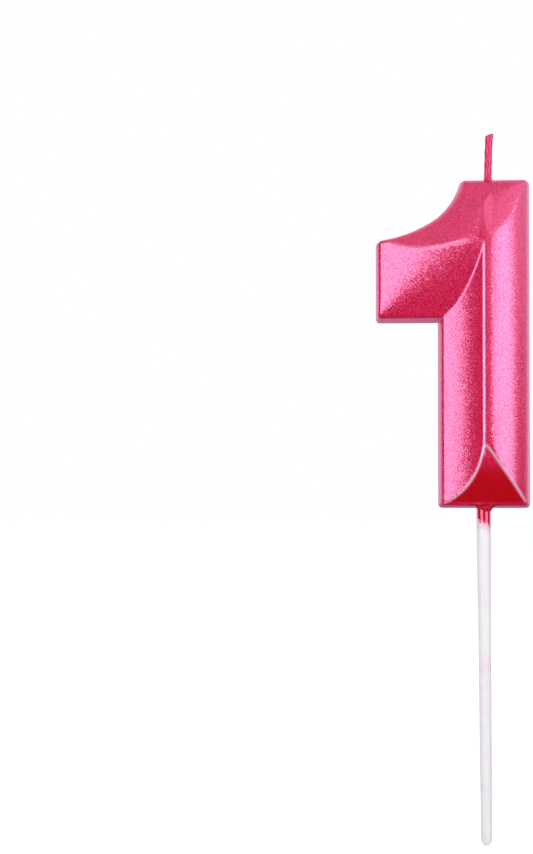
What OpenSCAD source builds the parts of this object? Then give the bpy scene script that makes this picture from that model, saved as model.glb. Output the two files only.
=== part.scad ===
// Number birthday candle, digit "1": a moulded wax digit with a bevelled front, a cotton wick in a
// painted sleeve at the top, and a plastic pick that is anchored in the foot and sealed by a bead.
// Origin: the digit's underside, on the pick's axis. +Z is up the digit, -Y is the bevelled front.

/* [Digit outline] */
// Height of the digit at its back edge
digit_h = 70.7; // [58:0.1:90]
// Width of the upright stroke at its back edge
stem_w = 19.8; // [16:0.1:24]
// How far the flag reaches past the upright stroke
flag_reach = 13.4; // [9:0.1:16]
// Height of the flag's underside at its back edge
flag_z = 40; // [32:0.1:44]
// Radius of the hollow curve beside the head of the stroke
head_sweep_r = 15.3; // [13:0.1:18]
// Radius of the hollow curve above the flag's tip
tip_sweep_r = 32.2; // [28:0.1:38]
// Width of the flat head, left of the stroke's middle
head_left = 4.5; // [3:0.1:6]

/* [Digit relief] */
// Depth of the plain side wall, from the back to the front edge
wall_t = 7; // [5:0.1:9]
// Depth of the side wall behind the pick's axis
back_t = 5; // [3:0.1:6]
// How much the side wall draws in towards the front edge
draft = 0.7; // [0.3:0.05:1]
// Height of the ridge above the front edge
ridge_h = 5; // [3.5:0.1:6]
// Length of the bevel at the foot of the digit
foot_bevel = 13.9; // [11:0.1:18]
// Slope of the round bevels where they reach the ridge, in degrees
crown_slope = 7; // [3:0.5:12]
// Half of the turn of the hollow bevel on the left of the stroke, in degrees
cove_turn = 11.5; // [6:0.5:14]
// Steepest rise of the flag's bevel from its lower corner, in degrees
flag_pitch = 11.3; // [9:0.1:13]

/* [Pick] */
// Length of the pick below the digit
pick_len = 71.4; // [50:0.1:95]
// Diameter of the parallel stretch below the digit
land_d = 2.98; // [2.4:0.02:3.6]
// Length of the parallel stretch
land_len = 5.4; // [4:0.1:9]
// Diameter just above the point
point_d = 2.28; // [1.8:0.02:2.3]
// Length of the blunt point
point_len = 1.8; // [1:0.1:3]
// Depth of the pick's anchor inside the wax
anchor_len = 14; // [9:0.5:20]
// Diameter of the anchor between its ribs
anchor_core_d = 1.9; // [1.4:0.05:2.1]
// Diameter of the anchor's ribs
anchor_rib_d = 2.6; // [2.3:0.05:2.7]
// Number of ribs on the anchor
anchor_ribs = 4; // [2:1:6]
// Width of one rib
anchor_rib_w = 1.2; // [0.6:0.1:1.4]

/* [Bead] */
// Height of the sealing bead that shows below the digit
bead_h = 1.15; // [0.8:0.05:1.6]
// Diameter of the bead against the digit
bead_d = 5.4; // [4.2:0.1:6.5]

/* [Wick] */
// Length of the wick above the digit
wick_out = 10; // [6:0.5:15]
// Place of the wick, right of the stroke's middle
wick_x = 1; // [-1:0.1:2]
// Diameter of the painted sleeve on the wick
sleeve_d = 1.8; // [1.6:0.05:2.4]
// Depth to which the sleeve is set into the wax
sleeve_set = 1.2; // [0.6:0.1:2.5]
// Diameter of the twisted cotton
cotton_d = 1.3; // [1:0.05:1.4]
// Length of one full turn of the cotton plies
ply_pitch = 8; // [6:0.5:12]
// Wax left between the wick's lower end and the anchor
wick_foot_gap = 3; // [2:0.5:6]

/* [Hidden] */
$fn = 96;
// Clearance between the pick's anchor and its bore, and between cotton and wax
anchor_gap = 0.06;
cotton_gap = 0.03;
sleeve_gap = 0.02;
// Overlap that keeps cuts clean
eps = 0.5;
// Margin by which the shaping blocks pass the digit, and how far they root into its wall
spare = 60;
root_t = 1;
// Undrafted band below the front edge
edge_t = 0.2;
// How far the bevels start outside the front edge
lip = 0.3;

// Front outline: the back outline drawn in by the draft
half_w = stem_w / 2 - draft;
foot_y = draft;
head_y = digit_h - draft;
flag_y = flag_z + draft;
tip_x = -stem_w / 2 - flag_reach + draft;
// Directions of the hollow curve at the head and where its two arcs join
head_turn = 74;
join_turn = 30;
// Each arc serves the directions from its start over arc_reach, seen from its centre, and the
// head's starts a little early, where it lies inside the tip's
arc_reach = 110;
arc_lap = 2;
head_start = join_turn - 90 - arc_lap;
tip_start = join_turn - 90 - arc_reach;

// Centres of the two tangent arcs, and the point where they join
head_c = [-head_left - head_sweep_r * sin(head_turn), head_y + head_sweep_r * cos(head_turn)];
join_p = head_c + head_sweep_r * [sin(join_turn), -cos(join_turn)];
tip_c = join_p + tip_sweep_r * [-sin(join_turn), cos(join_turn)];

// Round bevel: an arc that leaves the front edge steeply and reaches the ridge at crown_slope
bevel_chord = norm([half_w, ridge_h]);
bevel_tilt = atan(ridge_h / half_w);
bevel_r = bevel_chord / 2 / sin(bevel_tilt - crown_slope);
bevel_in = half_w + bevel_r * sin(crown_slope);
bevel_down = bevel_r * cos(crown_slope) - ridge_h;

// Foot bevel: a longer arc of the same kind
foot_chord = norm([foot_bevel, ridge_h]);
foot_tilt = atan(ridge_h / foot_bevel);
foot_r = foot_chord / 2 / sin(foot_tilt - crown_slope / 2);
foot_in = foot_bevel + foot_r * sin(crown_slope / 2);
foot_down = foot_r * cos(crown_slope / 2) - ridge_h;

// Hollow bevel on the left of the stroke
cove_w = half_w + lip;
cove_tilt = atan(ridge_h / cove_w);
cove_r = norm([cove_w, ridge_h]) / 2 / sin(cove_turn);
cove_c = [-cove_w - cove_r * sin(cove_tilt - cove_turn), cove_r * cos(cove_tilt - cove_turn)];

// Flag bevel: flat facets that fan out from the flag's lower corner, each tangent to a blunt cone.
// The cone lies level along two directions, flag_span to either side of its middle, and rises by
// flag_pitch between them.
flag_span = 50;
flag_facets = 4;
flag_dip = atan((cos(flag_pitch) - cos(flag_span)) / sin(flag_pitch));
flag_cone = flag_dip + flag_pitch;
function cone_rise(a) =
    acos(cos(flag_cone) / norm([cos(a) * cos(flag_dip), sin(flag_dip)]))
    - atan2(sin(flag_dip), cos(a) * cos(flag_dip));
function cone_turn(a) =
    -sin(a) * cos(flag_dip)
    / (tan(cone_rise(a)) * cos(a) * cos(flag_dip) + sin(flag_dip))
    / pow(cos(cone_rise(a)), 2);

// Where things sit along Z, and the slope of the drafted underside and head at the pick's axis
draft_k = draft / (wall_t - edge_t);
under_z = draft_k * back_t;
head_z = head_y + draft_k * (wall_t - back_t);
land_top = -bead_h;
land_low = land_top - land_len;
point_top = point_len - pick_len;
anchor_top = under_z + anchor_len;
wick_low = anchor_top + wick_foot_gap;
wick_top = head_z + wick_out;
bore_r = anchor_rib_d / 2 + anchor_gap;
cotton_r = cotton_d / 2;
wick_bore_r = cotton_r + cotton_gap;

// The digit is drawn lying on its back: x across, y up the digit, z towards the front.
// This stands it up, with its front edge at the right distance from the pick's axis.
module stand_up() {
    translate([0, back_t - wall_t, 0])
        rotate([90, 0, 0])
            children();
}

// A section in x and height, drawn out up the digit
module bar(len) {
    translate([0, len, 0])
        rotate([90, 0, 0])
            linear_extrude(len)
                children();
}

// A section in y and height, drawn out across the digit
module rail() {
    translate([-spare, 0, 0])
        rotate([90, 0, 90])
            linear_extrude(2 * spare)
                children();
}

// Drafted section from a to b: wider at the back, parallel above the front edge
module drafted(a, b) {
    polygon([
        [a - draft, -wall_t],
        [a, -edge_t],
        [a, ridge_h],
        [b, ridge_h],
        [b, -edge_t],
        [b + draft, -wall_t]
    ]);
}

// Turns a section about the centre of one arc, over the directions that the arc serves
module arc_sector(c, start) {
    translate([c[0], c[1], 0])
        rotate([0, 0, start])
            rotate_extrude(angle = arc_reach)
                children();
}

// What one arc of the hollow curve takes out of the digit, drafted like the walls
module arc_cut(c, r, start) {
    arc_sector(c, start)
            polygon([
                [0, -wall_t - eps],
                [r - draft - draft_k * eps, -wall_t - eps],
                [r, -edge_t],
                [r, ridge_h + eps],
                [0, ridge_h + eps]
            ]);
}

// Plain drafted blank of the digit, flat at the back
module blank() {
    difference() {
        union() {
            intersection() {
                bar(digit_h) drafted(-half_w, half_w);
                rail() drafted(foot_y, head_y);
            }
            intersection() {
                bar(digit_h) drafted(tip_x, 0);
                rail() drafted(flag_y, head_y - 0.3 * head_sweep_r);
            }
        }
        arc_cut(tip_c, tip_sweep_r, tip_start);
        arc_cut(head_c, head_sweep_r, head_start);
    }
}

// Section of what a round bevel takes away, from its edge at 0 to the ridge's height at run
module bevel_waste(run, r, in, down) {
    difference() {
        translate([-lip, -root_t])
            square([run + lip, root_t + ridge_h + eps]);
        translate([in, -down])
            circle(r);
    }
}

// The same for the bevel that the right side, the head and the hollow curve share
module round_waste() {
    bevel_waste(half_w, bevel_r, bevel_in, bevel_down);
}

// Hollow bevel on the stroke's left half
module cove_bar() {
    bar(digit_h)
        difference() {
            polygon([
                [-cove_w, -root_t],
                [0, -root_t],
                [0, ridge_h],
                [-cove_w, 0]
            ]);
            translate(cove_c)
                circle(cove_r);
        }
}

// Everything under the tangent plane of the flag's cone in direction a from its middle
module under_facet(a) {
    rise = tan(cone_rise(a));
    translate([tip_x - lip, flag_y - lip, 0])
        rotate([0, 0, flag_span + a + atan2(cone_turn(a), rise)])
            rotate([0, -atan(norm([rise, cone_turn(a)])), 0])
                translate([-spare, -spare, -spare])
                    cube([2 * spare, 2 * spare, spare]);
}

// Bevel of the flag, left of the ridge
module flag_bevel() {
    intersection() {
        translate([tip_x - 2 * eps, flag_y - 2 * eps, -root_t])
            cube([2 * eps - tip_x, digit_h, root_t + ridge_h + 3 * eps]);
        intersection_for (i = [0:flag_facets])
            under_facet(flag_span * (2 * i / flag_facets - 1));
    }
}

// The whole digit without its bores, lying on its back: the blank less the waste of each bevel
module digit() {
    difference() {
        blank();
        difference() {
            translate([tip_x - eps, -eps, lip / 10])
                cube([eps - tip_x, digit_h + 2 * eps, ridge_h + eps]);
            cove_bar();
            flag_bevel();
        }
        bar(digit_h)
            translate([half_w, 0])
                mirror([1, 0])
                    round_waste();
        rail()
            translate([foot_y, 0])
                bevel_waste(foot_bevel, foot_r, foot_in, foot_down);
        rail()
            translate([head_y, 0])
                mirror([1, 0])
                    round_waste();
        translate([head_c[0], head_c[1], 0])
            rotate_extrude()
                translate([head_sweep_r, 0])
                    round_waste();
    }
}

module candle_body() {
    color([0.86, 0.18, 0.42])
        difference() {
            stand_up() digit();
            translate([0, 0, -eps])
                cylinder(h = anchor_top + anchor_gap + eps, r = bore_r);
            translate([wick_x, 0, wick_low - cotton_gap])
                cylinder(h = wick_out + digit_h, r = wick_bore_r);
            translate([wick_x, 0, head_z - sleeve_set])
                cylinder(h = wick_out, r = sleeve_d / 2 + sleeve_gap);
        }
}

// Three cotton plies twisted about each other
module wick_yarns() {
    ply_r = cotton_r / (1 + 2 / sqrt(3));
    len = wick_top - wick_low - sleeve_gap;
    color([0.93, 0.9, 0.84])
        translate([wick_x, 0, wick_low])
            for (a = [0, 120, 240])
                rotate([0, 0, a])
                    linear_extrude(len, twist = -360 * len / ply_pitch, slices = ceil(12 * len / ply_pitch), $fn = 8)
                        translate([cotton_r - ply_r, 0])
                            circle(ply_r - cotton_gap, $fn = 8);
}

// Painted wax sleeve round the part of the wick that shows
module wick_sleeve() {
    color([0.84, 0.2, 0.42])
        translate([wick_x, 0, head_z - sleeve_set])
            difference() {
                cylinder(h = wick_out + sleeve_set, r = sleeve_d / 2);
                translate([0, 0, -eps])
                    cylinder(h = wick_out + sleeve_set + 2 * eps, r = wick_bore_r);
            }
}

// Plastic pick: ribbed anchor in the wax, parallel land, long taper and blunt point
module pick() {
    rib_step = (anchor_len - anchor_rib_w) / anchor_ribs;
    color([0.96, 0.95, 0.96]) {
        rotate_extrude()
            polygon([
                [0, -pick_len],
                [point_d / 5, -pick_len],
                [point_d / 2, point_top],
                [land_d / 2, land_low],
                [land_d / 2, land_top],
                [anchor_rib_d / 2, land_top],
                [anchor_rib_d / 2, under_z],
                [anchor_core_d / 2, under_z + anchor_rib_w / 2],
                [anchor_core_d / 2, anchor_top],
                [0, anchor_top]
            ]);
        for (i = [0:anchor_ribs - 1])
            translate([0, 0, anchor_top - anchor_rib_w - i * rib_step])
                cylinder(h = anchor_rib_w, r = anchor_rib_d / 2);
    }
}

// Bead of set wax and paint that seals the pick to the digit's underside
module seal_bead() {
    color([0.78, 0.1, 0.3])
        difference() {
            translate([0, 0, land_top])
                cylinder(h = bead_h + under_z + draft_k * bead_d, d1 = land_d, d2 = bead_d);
            stand_up() rail() drafted(foot_y, head_y);
            translate([0, 0, land_top - eps])
                cylinder(h = bead_h + 2 * under_z + 2 * eps, r = bore_r);
        }
}

candle_body();
wick_yarns();
wick_sleeve();
pick();
seal_bead();
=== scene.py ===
"""Looks of a digit-one birthday candle: pearl-painted wax digit, painted wick, plastic pick and seal bead."""

import logging
import math
from dataclasses import dataclass, field
from enum import Enum

import bmesh
import bpy
import numpy as np
from mathutils import Matrix, Vector, noise


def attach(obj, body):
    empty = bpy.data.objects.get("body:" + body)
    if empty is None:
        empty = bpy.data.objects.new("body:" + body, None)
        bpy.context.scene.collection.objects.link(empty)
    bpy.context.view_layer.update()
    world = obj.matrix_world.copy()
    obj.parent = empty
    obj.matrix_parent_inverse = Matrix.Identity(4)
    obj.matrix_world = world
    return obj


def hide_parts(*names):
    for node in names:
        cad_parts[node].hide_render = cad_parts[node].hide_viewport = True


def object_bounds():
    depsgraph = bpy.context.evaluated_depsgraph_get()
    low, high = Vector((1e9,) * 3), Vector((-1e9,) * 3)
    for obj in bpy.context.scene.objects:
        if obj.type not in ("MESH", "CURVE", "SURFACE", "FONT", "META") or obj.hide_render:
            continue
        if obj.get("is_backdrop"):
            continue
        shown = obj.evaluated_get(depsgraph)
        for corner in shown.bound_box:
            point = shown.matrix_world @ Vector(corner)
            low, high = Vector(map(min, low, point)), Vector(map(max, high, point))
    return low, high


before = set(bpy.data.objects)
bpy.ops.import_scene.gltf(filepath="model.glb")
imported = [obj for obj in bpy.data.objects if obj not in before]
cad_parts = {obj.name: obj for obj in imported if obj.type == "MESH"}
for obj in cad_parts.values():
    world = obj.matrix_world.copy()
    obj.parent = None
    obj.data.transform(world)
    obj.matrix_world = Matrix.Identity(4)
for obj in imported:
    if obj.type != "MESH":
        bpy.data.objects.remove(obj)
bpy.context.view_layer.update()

log = logging.getLogger("candle")

MM = 0.001
WHITE = (1.0, 1.0, 1.0, 1.0)
NEARLY = 0.999
TOUCH = 0.01
Colour = tuple[float, float, float]
Point = tuple[float, float, float]
Span = tuple[float, float]
Shape = bmesh.types.BMesh
Socket = bpy.types.NodeSocket
Inputs = dict[str | int, object]


# ---------------------------------------------------------------- shared helpers


class Body(Enum):
    """CAD bodies that pieces ride on."""

    ROOT = "root"


class Slot(Enum):
    """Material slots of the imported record."""

    DIGIT = "wax_metallic_rose"
    COTTON = "cotton"
    WICK = "wick_paint"
    PICK = "pick_white"
    BEAD = "bead_paint"


def place(piece: Shape, name: str, material: bpy.types.Material) -> bpy.types.Object:
    """Makes an object of a finished shape that was built in millimetres.

    Args:
        piece: The shape, which is freed.
        name: The object's name.
        material: Its finish.

    Returns:
        The object, smooth shaded, at the origin.
    """
    bmesh.ops.scale(piece, vec=Vector((MM, MM, MM)), verts=piece.verts)
    mesh = bpy.data.meshes.new(name)
    piece.to_mesh(mesh)
    piece.free()
    mesh.shade_smooth()
    mesh.materials.append(material)
    made = bpy.data.objects.new(name, mesh)
    bpy.context.scene.collection.objects.link(made)
    log.info("%s: %d faces", name, len(mesh.polygons))
    return made


def ring_at(piece: Shape, sides: int, radius: float, height: float) -> list[bmesh.types.BMVert]:
    """Adds a level ring of vertices round the Z axis, at a height."""
    lift = Matrix.Translation((0, 0, height))
    return bmesh.ops.create_circle(piece, cap_ends=False, segments=sides, radius=radius, matrix=lift)["verts"]


def revolve(piece: Shape, profile: list[Span], sides: int) -> None:
    """Spins a profile of radii and heights, whose ends lie on the axis, into a closed shape.

    Args:
        piece: The shape that takes the surface.
        profile: Radius and height of each point, from the top down.
        sides: Number of faces round the axis.
    """
    points = [piece.verts.new((radius, 0, height)) for radius, height in profile]
    line = [piece.edges.new(pair) for pair in zip(points, points[1:])]
    bmesh.ops.spin(
        piece, geom=points + line, cent=(0, 0, 0), axis=(0, 0, 1), angle=math.tau, steps=sides, use_merge=True
    )
    bmesh.ops.remove_doubles(piece, verts=piece.verts, dist=1e-5)
    bmesh.ops.recalc_face_normals(piece, faces=piece.faces)


def cut_away(piece: Shape, point: Point, facing: Vector) -> None:
    """Cuts off what lies beyond a plane, on the side it faces, and leaves the shape open there."""
    everything = piece.verts[:] + piece.edges[:] + piece.faces[:]
    bmesh.ops.bisect_plane(piece, geom=everything, plane_co=point, plane_no=facing, clear_outer=True)


# ---------------------------------------------------------------- node trees


class Tree:
    """A node tree with short calls for its nodes."""

    def __init__(self, tree: bpy.types.NodeTree) -> None:
        """Empties the tree."""
        self.tree = tree
        tree.nodes.clear()

    def add(self, kind: str, links: Inputs | None = None, **settings: object) -> bpy.types.Node:
        """Adds a node.

        Args:
            kind: The node's type, without its ShaderNode prefix.
            links: Sockets or plain values for its inputs, by name or number.
            **settings: The node's own properties.

        Returns:
            The node.
        """
        node = self.tree.nodes.new("ShaderNode" + kind)
        for key, value in settings.items():
            setattr(node, key, value)
        for key, value in (links or {}).items():
            if isinstance(value, Socket):
                self.tree.links.new(value, node.inputs[key])
            else:
                node.inputs[key].default_value = value
        return node

    def calc(self, operation: str, first: object, second: object = 0.0, clamp: bool = False) -> Socket:
        """Adds a Math node of two numbers or sockets, kept between 0 and 1 on request."""
        return self.add("Math", {0: first, 1: second}, operation=operation, use_clamp=clamp).outputs[0]

    def times(self, first: object, second: object) -> Socket:
        """Multiplies two numbers or sockets."""
        return self.calc("MULTIPLY", first, second)

    def plus(self, first: object, second: object) -> Socket:
        """Adds two numbers or sockets."""
        return self.calc("ADD", first, second)

    def vector(self, operation: str, first: Socket, second: object = (0.0, 0.0, 0.0)) -> bpy.types.Node:
        """Adds a Vector Math node, whose output 0 is a vector and 1 a number."""
        return self.add("VectorMath", {0: first, 1: second}, operation=operation)

    def span(self, value: Socket, low: float, high: float, start: float = 0.0, end: float = 1.0) -> Socket:
        """Maps a value smoothly from the span low to high onto the span start to end."""
        links = {"Value": value, 1: low, 2: high, 3: start, 4: end}
        return self.add("MapRange", links, interpolation_type="SMOOTHSTEP").outputs[0]

    def blend(self, share: object, first: object, second: object) -> Socket:
        """Mixes two colours.

        Args:
            share: Share of the second colour.
            first: First colour or socket.
            second: Second colour or socket.

        Returns:
            The mixed colour.
        """
        node = self.add("Mix", data_type="RGBA")
        for socket, value in ((node.inputs[0], share), (node.inputs[6], first), (node.inputs[7], second)):
            if isinstance(value, Socket):
                self.tree.links.new(value, socket)
            else:
                socket.default_value = (*value, 1.0) if isinstance(value, tuple) else value
        return node.outputs[2]

    def grain(self, where: Socket, size: float, detail: float = 2.0, rough: float = 0.5) -> Socket:
        """Adds a noise of about 0 to 1, whose features have a size in millimetres."""
        links = {"Vector": where, "Scale": 1 / (size * MM), "Detail": detail, "Roughness": rough}
        return self.add("TexNoise", links).outputs["Fac"]

    def relief(
        self, height: Socket, depth: float, strength: float = 1.0, under: Socket | None = None
    ) -> Socket:
        """Adds a bump.

        Args:
            height: Height, 0 to 1.
            depth: Depth of the relief in millimetres.
            strength: Share of the bump that shows.
            under: Normal that the bump lies on.

        Returns:
            The bumped normal.
        """
        links: Inputs = {"Height": height, "Distance": depth * MM, "Strength": strength}
        if under is not None:
            links["Normal"] = under
        return self.add("Bump", links).outputs["Normal"]

    def seen(self) -> Socket:
        """Gives 1 to camera, glossy and transmission rays, and 0 to all others.

        Returns:
            The share, 0 or 1.
        """
        path = self.add("LightPath").outputs
        direct = self.calc("MAXIMUM", path["Is Camera Ray"], path["Is Glossy Ray"])
        return self.calc("MAXIMUM", direct, path["Is Transmission Ray"])


def blank(name: str) -> tuple[bpy.types.Material, Tree, Socket]:
    """Makes an empty material.

    Args:
        name: Its name.

    Returns:
        The material, its tree and its object coordinates.
    """
    material = bpy.data.materials.new(name)
    material.use_nodes = True
    tree = Tree(material.node_tree)
    return material, tree, tree.add("TexCoord").outputs["Object"]


# ---------------------------------------------------------------- finishes


@dataclass(frozen=True)
class Finish:
    """A finish that is made of nodes, with its sizes and depths in millimetres."""

    name: str

    def close(self, tree: Tree, sockets: Inputs) -> None:
        """Adds the surface shader, with values or sockets for its inputs, and the output."""
        shader = tree.add("BsdfPrincipled", sockets)
        tree.add("OutputMaterial", {"Surface": shader.outputs[0]})


@dataclass(frozen=True)
class PearlPaint(Finish):
    """Pearl lacquer: a deep red base under a pink gloss, with tilted flakes and darker flecks, a painted
    highlight along the ridges, painted shade on the foot and a paler painted light on the walls.
    """

    base: Colour = (0.90, 0.0006, 0.068)
    # The deep colour is a darker red, used for faint random patches and as painted shade on the foot's lower
    # bevel.
    deep: Colour = (0.58, 0.0001, 0.003)
    # The side colour is a paler pink on the walls: painted light for the bright surround they reflect at a
    # slant.
    side: Colour = (0.93, 0.10, 0.26)
    pearl: Colour = (1.0, 0.24, 0.46)
    # The ridge colour is pinkish white, laid along the ridges as a painted highlight.
    ridge: Colour = (1.0, 0.66, 0.86)
    gloss: Colour = (0.50, 0.50, 0.92)
    ior: float = 3.1
    # Share of that painted ridge highlight.
    highlight_share: float = 0.85
    flake_size: float = 0.17
    flake_pick: Span = (0.6, 1.0)
    flake_shine: float = 0.20
    flake_tilt: float = 0.28
    tilt_size: float = 1.25
    tilt_calm: float = 0.2
    fleck_size: float = 0.22
    fleck_pick: Span = (0.42, 0.72)
    fleck_depth: float = 0.62
    patch_size: float = 3.2
    patch_share: float = 0.10
    cloud_size: float = 1.6
    cloud_depth: float = 0.012
    roughness: float = 0.20
    rough_spread: float = 0.06
    side_rough: float = 0.15
    pool_smooth: float = 0.10
    coat: float = 0.03
    coat_rough: float = 0.22

    def tilted(self, tree: Tree, where: Socket, calm: Socket) -> Socket:
        """Tilts the surface flake by flake.

        Args:
            tree: The material's tree.
            where: Coordinates.
            calm: How flat the flakes lie, 0 to 1.

        Returns:
            The tilted normal.
        """
        scale = 1 / (self.flake_size * self.tilt_size * MM)
        tilts = tree.add("TexNoise", {"Vector": where, "Scale": scale, "Detail": 0.0}).outputs["Color"]
        lean = tree.vector("SUBTRACT", tilts, (0.5, 0.5, 0.5)).outputs[0]
        share = tree.span(calm, 0.0, 1.0, self.flake_tilt, self.flake_tilt * self.tilt_calm)
        lean = tree.add("VectorMath", {0: lean, "Scale": share}, operation="SCALE").outputs[0]
        facing = tree.vector("ADD", tree.add("NewGeometry").outputs["Normal"], lean).outputs[0]
        return tree.vector("NORMALIZE", facing).outputs[0]

    def make(self) -> bpy.types.Material:
        """Makes the material.

        Returns:
            The material.
        """
        material, tree, where = blank(self.name)
        pooled_and_shaded, highlit, flank = (
            tree.add("Attribute", attribute_name=name).outputs["Fac"] for name in ("pool_and_shade", "painted_highlight", "side")
        )
        flake = tree.add("TexVoronoi", {"Vector": where, "Scale": 1 / (self.flake_size * MM)}, feature="F1")
        pick = tree.add("SeparateColor", {0: flake.outputs["Color"]}).outputs
        bare = tree.calc("SUBTRACT", 1.0, pooled_and_shaded, clamp=True)
        patch = tree.grain(where, self.patch_size, 3.0)
        patch = tree.span(patch, 0.3, 0.7, -self.patch_share, self.patch_share)
        # Painted shade: the foot's lower bevel takes the deeper red, and faint random patches take some of it
        # too.
        colour = tree.blend(tree.calc("ADD", pooled_and_shaded, patch, clamp=True), self.base, self.deep)
        # Painted light: the walls take a paler pink.
        colour = tree.blend(flank, colour, self.side)
        shine = tree.span(pick[0], *self.flake_pick, 0.0, self.flake_shine)
        colour = tree.blend(tree.times(shine, bare), colour, self.pearl)
        # Painted highlight: pinkish white laid along the ridges.
        colour = tree.blend(tree.times(highlit, self.highlight_share), colour, self.ridge)
        fleck = tree.grain(where, self.fleck_size, 1.0)
        fleck = tree.span(fleck, *self.fleck_pick, 0.0, self.fleck_depth)
        facing = self.tilted(tree, where, tree.calc("MAXIMUM", pooled_and_shaded, flank))
        low, high = self.roughness - self.rough_spread, self.roughness + self.rough_spread
        smoother = tree.times(pooled_and_shaded, self.pool_smooth)
        change = tree.calc("SUBTRACT", tree.times(flank, self.side_rough), smoother)
        self.close(
            tree,
            {
                "Base Color": colour,
                "Metallic": tree.times(fleck, bare),
                "Roughness": tree.plus(tree.span(pick[1], 0.0, 1.0, low, high), change),
                "IOR": self.ior,
                "Specular Tint": (*self.gloss, 1.0),
                "Coat Weight": self.coat,
                "Coat Roughness": self.coat_rough,
                "Normal": tree.relief(tree.grain(where, self.cloud_size), self.cloud_depth, 1.0, facing),
            },
        )
        return material


@dataclass(frozen=True)
class BeadPaint(Finish):
    """Thick glossy red paint that has run together."""

    base: Colour = (0.60, 0.003, 0.030)
    pearl: Colour = (1.0, 0.16, 0.34)
    swirl_size: float = 0.9
    swirl_share: Span = (0.0, 0.40)
    lump_size: float = 0.7
    lump_depth: float = 0.10
    roughness: Span = (0.10, 0.22)
    coat: float = 0.8
    coat_rough: float = 0.06

    def make(self) -> bpy.types.Material:
        """Makes the material.

        Returns:
            The material.
        """
        material, tree, where = blank(self.name)
        swirl = tree.grain(where, self.swirl_size, 3.0)
        share = tree.span(swirl, 0.40, 0.75, *self.swirl_share)
        self.close(
            tree,
            {
                "Base Color": tree.blend(share, self.base, self.pearl),
                "Metallic": share,
                "Roughness": tree.span(swirl, 0.3, 0.7, *self.roughness),
                "Coat Weight": self.coat,
                "Coat Roughness": self.coat_rough,
                "Normal": tree.relief(tree.grain(where, self.lump_size, 1.0), self.lump_depth),
            },
        )
        return material


@dataclass(frozen=True)
class PickPlastic(Finish):
    """White moulded plastic whose top end has been dipped in red paint."""

    plastic: Colour = (0.875, 0.855, 0.885)
    shade: Colour = (0.81, 0.76, 0.83)
    paint: Colour = (0.74, 0.004, 0.075)
    haze: Colour = (0.96, 0.38, 0.66)
    paint_low: float = -2.9
    paint_border: Span = (-0.7, 0.5)
    haze_low: float = -5.0
    haze_share: float = 0.8
    border_slant: float = 0.45
    border_wave: float = 0.75
    wave_size: float = 1.3
    cloud_size: float = 2.4
    cloud_share: float = 0.5
    smudge_at: float = -33.2
    smudge_reach: float = 3.2
    smudge_share: Span = (0.05, 0.20)
    speck_at: Point = (0.35, -1.3, -37.6)
    speck_reach: Span = (1.5, 0.5)
    speck_size: float = 0.30
    speck_share: float = 0.7
    skin_size: float = 0.7
    skin_depth: float = 0.01
    roughness: Span = (0.42, 0.16)
    paint_metal: float = 0.35
    coat_rough: float = 0.08

    def plastic_tone(self, tree: Tree, where: Socket, high: Socket) -> Socket:
        """Colours the bare plastic, with its clouds, faint smudge and specks.

        Args:
            tree: The material's tree.
            where: Coordinates.
            high: Height in millimetres.

        Returns:
            The colour.
        """
        cloud = tree.span(tree.grain(where, self.cloud_size, 3.0), 0.35, 0.72)
        colour = tree.blend(tree.times(cloud, self.cloud_share), self.plastic, self.shade)
        off = tree.calc("ABSOLUTE", tree.calc("SUBTRACT", high, self.smudge_at))
        smear = tree.span(cloud, 0.1, 0.9, *self.smudge_share)
        smudge = tree.times(tree.span(off, self.smudge_reach, 0.0), smear)
        colour = tree.blend(smudge, colour, self.haze)
        away = tree.vector("DISTANCE", where, tuple(part * MM for part in self.speck_at)).outputs["Value"]
        grit = tree.span(tree.grain(where, self.speck_size, 1.0), 0.66, 0.74)
        specks = tree.times(tree.span(away, *(reach * MM for reach in self.speck_reach)), grit)
        return tree.blend(tree.times(specks, self.speck_share), colour, self.paint)

    def make(self) -> bpy.types.Material:
        """Makes the material.

        Returns:
            The material.
        """
        material, tree, where = blank(self.name)
        spot = tree.add("SeparateXYZ", {0: where}).outputs
        high = tree.calc("DIVIDE", spot["Z"], MM)
        wave = tree.grain(where, self.wave_size, 3.0)
        wave = tree.span(wave, 0.25, 0.75, -self.border_wave, self.border_wave)
        edge = tree.plus(tree.plus(high, wave), tree.times(spot["X"], self.border_slant / MM))
        paint = tree.span(edge, *(self.paint_low + part for part in self.paint_border))
        haze = tree.times(tree.span(edge, self.haze_low, self.paint_low), self.haze_share)
        colour = tree.blend(haze, self.plastic_tone(tree, where, high), self.haze)
        self.close(
            tree,
            {
                "Base Color": tree.blend(paint, colour, self.paint),
                "Metallic": tree.times(paint, self.paint_metal),
                "Roughness": tree.span(paint, 0.0, 1.0, *self.roughness),
                "Coat Weight": paint,
                "Coat Roughness": self.coat_rough,
                "Normal": tree.relief(tree.grain(where, self.skin_size, 3.0), self.skin_depth, 0.5),
            },
        )
        return material


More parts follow.
